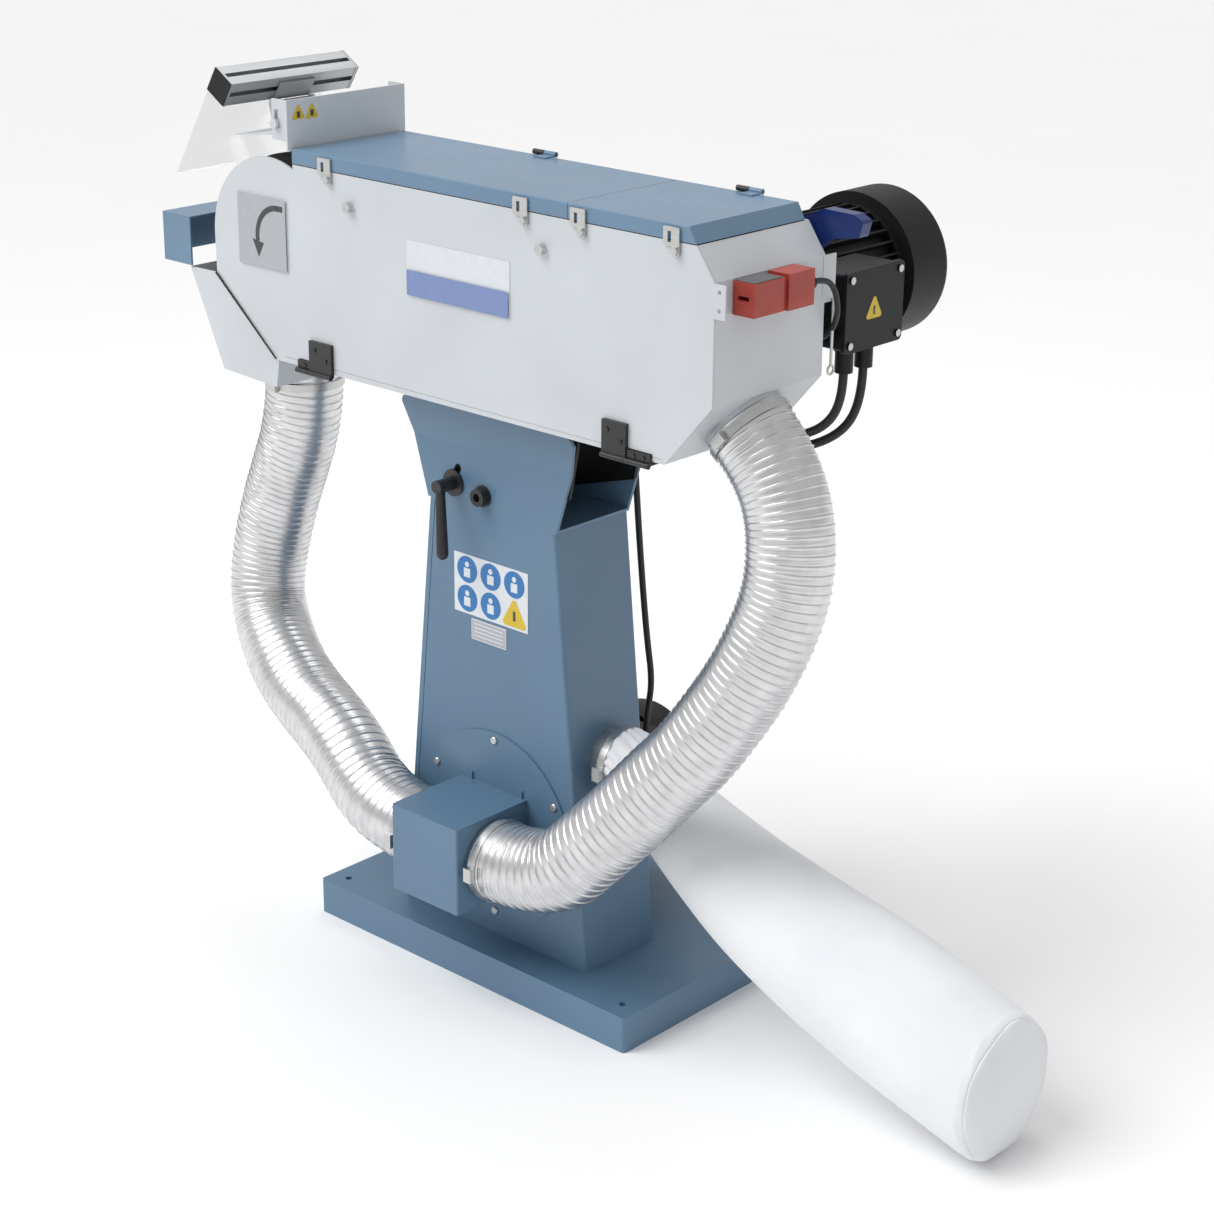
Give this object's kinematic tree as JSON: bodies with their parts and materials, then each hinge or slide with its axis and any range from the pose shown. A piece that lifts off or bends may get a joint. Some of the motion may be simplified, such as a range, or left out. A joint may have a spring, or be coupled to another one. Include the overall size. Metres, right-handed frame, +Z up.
{
  "type": "long-belt grinding machine",
  "caption": "Free-standing long-belt grinder on a tapered stand, with a tilting head, hinged guards, and a fan with ducts and a filter bag.",
  "frame": {"origin": "centre of the base plate's underside", "axes": "+Z up, -Y towards the hinged front cover, +X from the contact wheel towards the motor end"},
  "size_m": [1.548, 0.708, 1.3192],
  "materials": {
    "blue_paint": "satin powder coat",
    "white_paint": "satin powder coat",
    "black_paint": "satin black",
    "bare_steel": "machined",
    "spiral_duct": "ribbed foil duct",
    "cast_aluminium": "machined",
    "black_rubber": "matt",
    "abrasive": "coated abrasive cloth",
    "bag_cloth": "white filter cloth",
    "black_plastic": "moulded",
    "blue_plastic": "moulded",
    "red_plastic": "moulded",
    "green_plastic": "moulded",
    "clear_sheet": "clear polycarbonate",
    "plate_white": "printed plate"
  },
  "bodies": {
    "root": {"base_plate": "blue_paint", "column": "blue_paint", "saddle": "blue_paint", "pivot_bolt": "bare_steel", "fan_housing": "bare_steel", "fan_cover": "blue_paint", "fan_cover_screws": "bare_steel", "inlet_box": "blue_paint", "fan_motor": "black_paint", "filter_bag": "bag_cloth", "stand_clamps": "bare_steel", "hose_left": "spiral_duct", "hose_right": "spiral_duct", "fan_cable": "black_rubber", "column_plates": "plate_white"},
    "fan_rotor": {"fan_shaft": "bare_steel", "impeller": "cast_aluminium"},
    "head": {"tilt_bracket": "black_paint", "back_plate": "white_paint", "case_wall": "white_paint", "chute": "white_paint", "head_clamps": "bare_steel", "platen": "bare_steel", "sanding_belt": "abrasive", "contact_axle": "bare_steel", "motor_frame": "black_paint", "motor_cowl": "black_paint", "terminal_box": "black_plastic", "cable_glands": "black_plastic", "motor_cables": "black_rubber", "switch_cable": "black_rubber", "control_box": "black_plastic", "interlock_switch": "red_plastic", "hinge_brackets": "black_paint", "spark_flap": "white_paint", "rest_bolt": "black_plastic"},
    "clamp_lever": {"clamp_lever": "black_paint"},
    "front_cover": {"front_cover": "white_paint", "cover_hinge_leaves": "black_paint", "cover_plates": "plate_white"},
    "lid_left": {"lid_left": "blue_paint"},
    "lid_right": {"lid_right": "blue_paint"},
    "latch_1": {"latch_1": "bare_steel"},
    "latch_2": {"latch_2": "bare_steel"},
    "latch_3": {"latch_3": "bare_steel"},
    "latch_4": {"latch_4": "bare_steel"},
    "guard": {"guard_plate": "white_paint"},
    "visor": {"visor_frame": "cast_aluminium", "visor_sheet": "clear_sheet"},
    "work_rest": {"work_rest": "blue_paint"},
    "tensioner": {"tension_arm": "bare_steel", "tension_lever": "blue_plastic"},
    "tension_roller": {"tension_roller": "bare_steel"},
    "contact_wheel": {"contact_wheel": "cast_aluminium", "contact_tyre": "black_rubber"},
    "drive": {"motor_shaft": "bare_steel", "drive_pulley": "bare_steel", "motor_fan": "black_plastic"},
    "start_button": {"start_button": "green_plastic"},
    "stop_button": {"stop_button": "red_plastic"}
  },
  "joints": [
    {"name": "fan_spin", "type": "hinge", "parent": "root", "child": "fan_rotor", "pos_m": [0.008, -0.1, 0.238], "axis": [0, 1, 0], "continuous": true},
    {"name": "head_tilt", "type": "hinge", "parent": "root", "child": "head", "pos_m": [-0.015, -0.092, 0.754], "axis": [0, 1, 0], "range_deg": [0, 15], "deforming": ["hose_left", "hose_right", "fan_cable"]},
    {"name": "clamp_lever_turn", "type": "hinge", "parent": "head", "child": "clamp_lever", "pos_m": [-0.07455, -0.18, 0.76131], "axis": [0, -1, 0], "range_deg": [0, 30]},
    {"name": "cover_swing", "type": "hinge", "parent": "head", "child": "front_cover", "pos_m": [0, -0.224, 0.889], "axis": [1, 0, 0], "range_deg": [0, 95]},
    {"name": "lid_left_swing", "type": "hinge", "parent": "head", "child": "lid_left", "pos_m": [-0.062, 0.008, 1.219], "axis": [-1, 0, 0], "range_deg": [0, 100]},
    {"name": "lid_right_swing", "type": "hinge", "parent": "head", "child": "lid_right", "pos_m": [0.317, 0.008, 1.219], "axis": [-1, 0, 0], "range_deg": [0, 100]},
    {"name": "latch_1_turn", "type": "hinge", "parent": "front_cover", "child": "latch_1", "pos_m": [-0.272, -0.22, 1.182], "axis": [0, 1, 0], "range_deg": [0, 90]},
    {"name": "latch_2_turn", "type": "hinge", "parent": "front_cover", "child": "latch_2", "pos_m": [0.118, -0.22, 1.182], "axis": [0, 1, 0], "range_deg": [0, 90]},
    {"name": "latch_3_turn", "type": "hinge", "parent": "front_cover", "child": "latch_3", "pos_m": [0.223, -0.22, 1.182], "axis": [0, 1, 0], "range_deg": [0, 90]},
    {"name": "latch_4_turn", "type": "hinge", "parent": "front_cover", "child": "latch_4", "pos_m": [0.385, -0.22, 1.182], "axis": [0, 1, 0], "range_deg": [0, 90]},
    {"name": "guard_slide", "type": "slide", "parent": "head", "child": "guard", "axis": [0, 0, -1], "range_m": [0, 0.014]},
    {"name": "visor_tilt", "type": "hinge", "parent": "head", "child": "visor", "pos_m": [-0.478, -0.105, 1.257], "axis": [0, 1, 0], "range_deg": [-10, 90]},
    {"name": "rest_slide", "type": "slide", "parent": "head", "child": "work_rest", "axis": [1, 0, 0], "range_m": [0, 0.045]},
    {"name": "tension_release", "type": "hinge", "parent": "head", "child": "tensioner", "pos_m": [0.395, 0, 1.165], "axis": [0, -1, 0], "range_deg": [0, 6]},
    {"name": "roller_spin", "type": "hinge", "parent": "tensioner", "child": "tension_roller", "pos_m": [0.2847, -0.104, 1.16], "axis": [0, 1, 0], "continuous": true},
    {"name": "wheel_spin", "type": "hinge", "parent": "head", "child": "contact_wheel", "pos_m": [-0.406, -0.104, 1.07], "axis": [0, 1, 0], "continuous": true},
    {"name": "drive_spin", "type": "hinge", "parent": "head", "child": "drive", "pos_m": [0.275, 0, 1.06], "axis": [0, 1, 0], "continuous": true},
    {"name": "start_press", "type": "slide", "parent": "head", "child": "start_button", "axis": [0, -1, 0], "range_m": [0, 0.004], "stiffness_N_per_m": 400},
    {"name": "stop_press", "type": "slide", "parent": "head", "child": "stop_button", "axis": [0, -1, 0], "range_m": [0, 0.004], "stiffness_N_per_m": 400}
  ],
  "couplings": [
    {"joint": "wheel_spin", "follows": "drive_spin", "ratio": 0.40476},
    {"joint": "roller_spin", "follows": "drive_spin", "ratio": 1.6452}
  ]
}
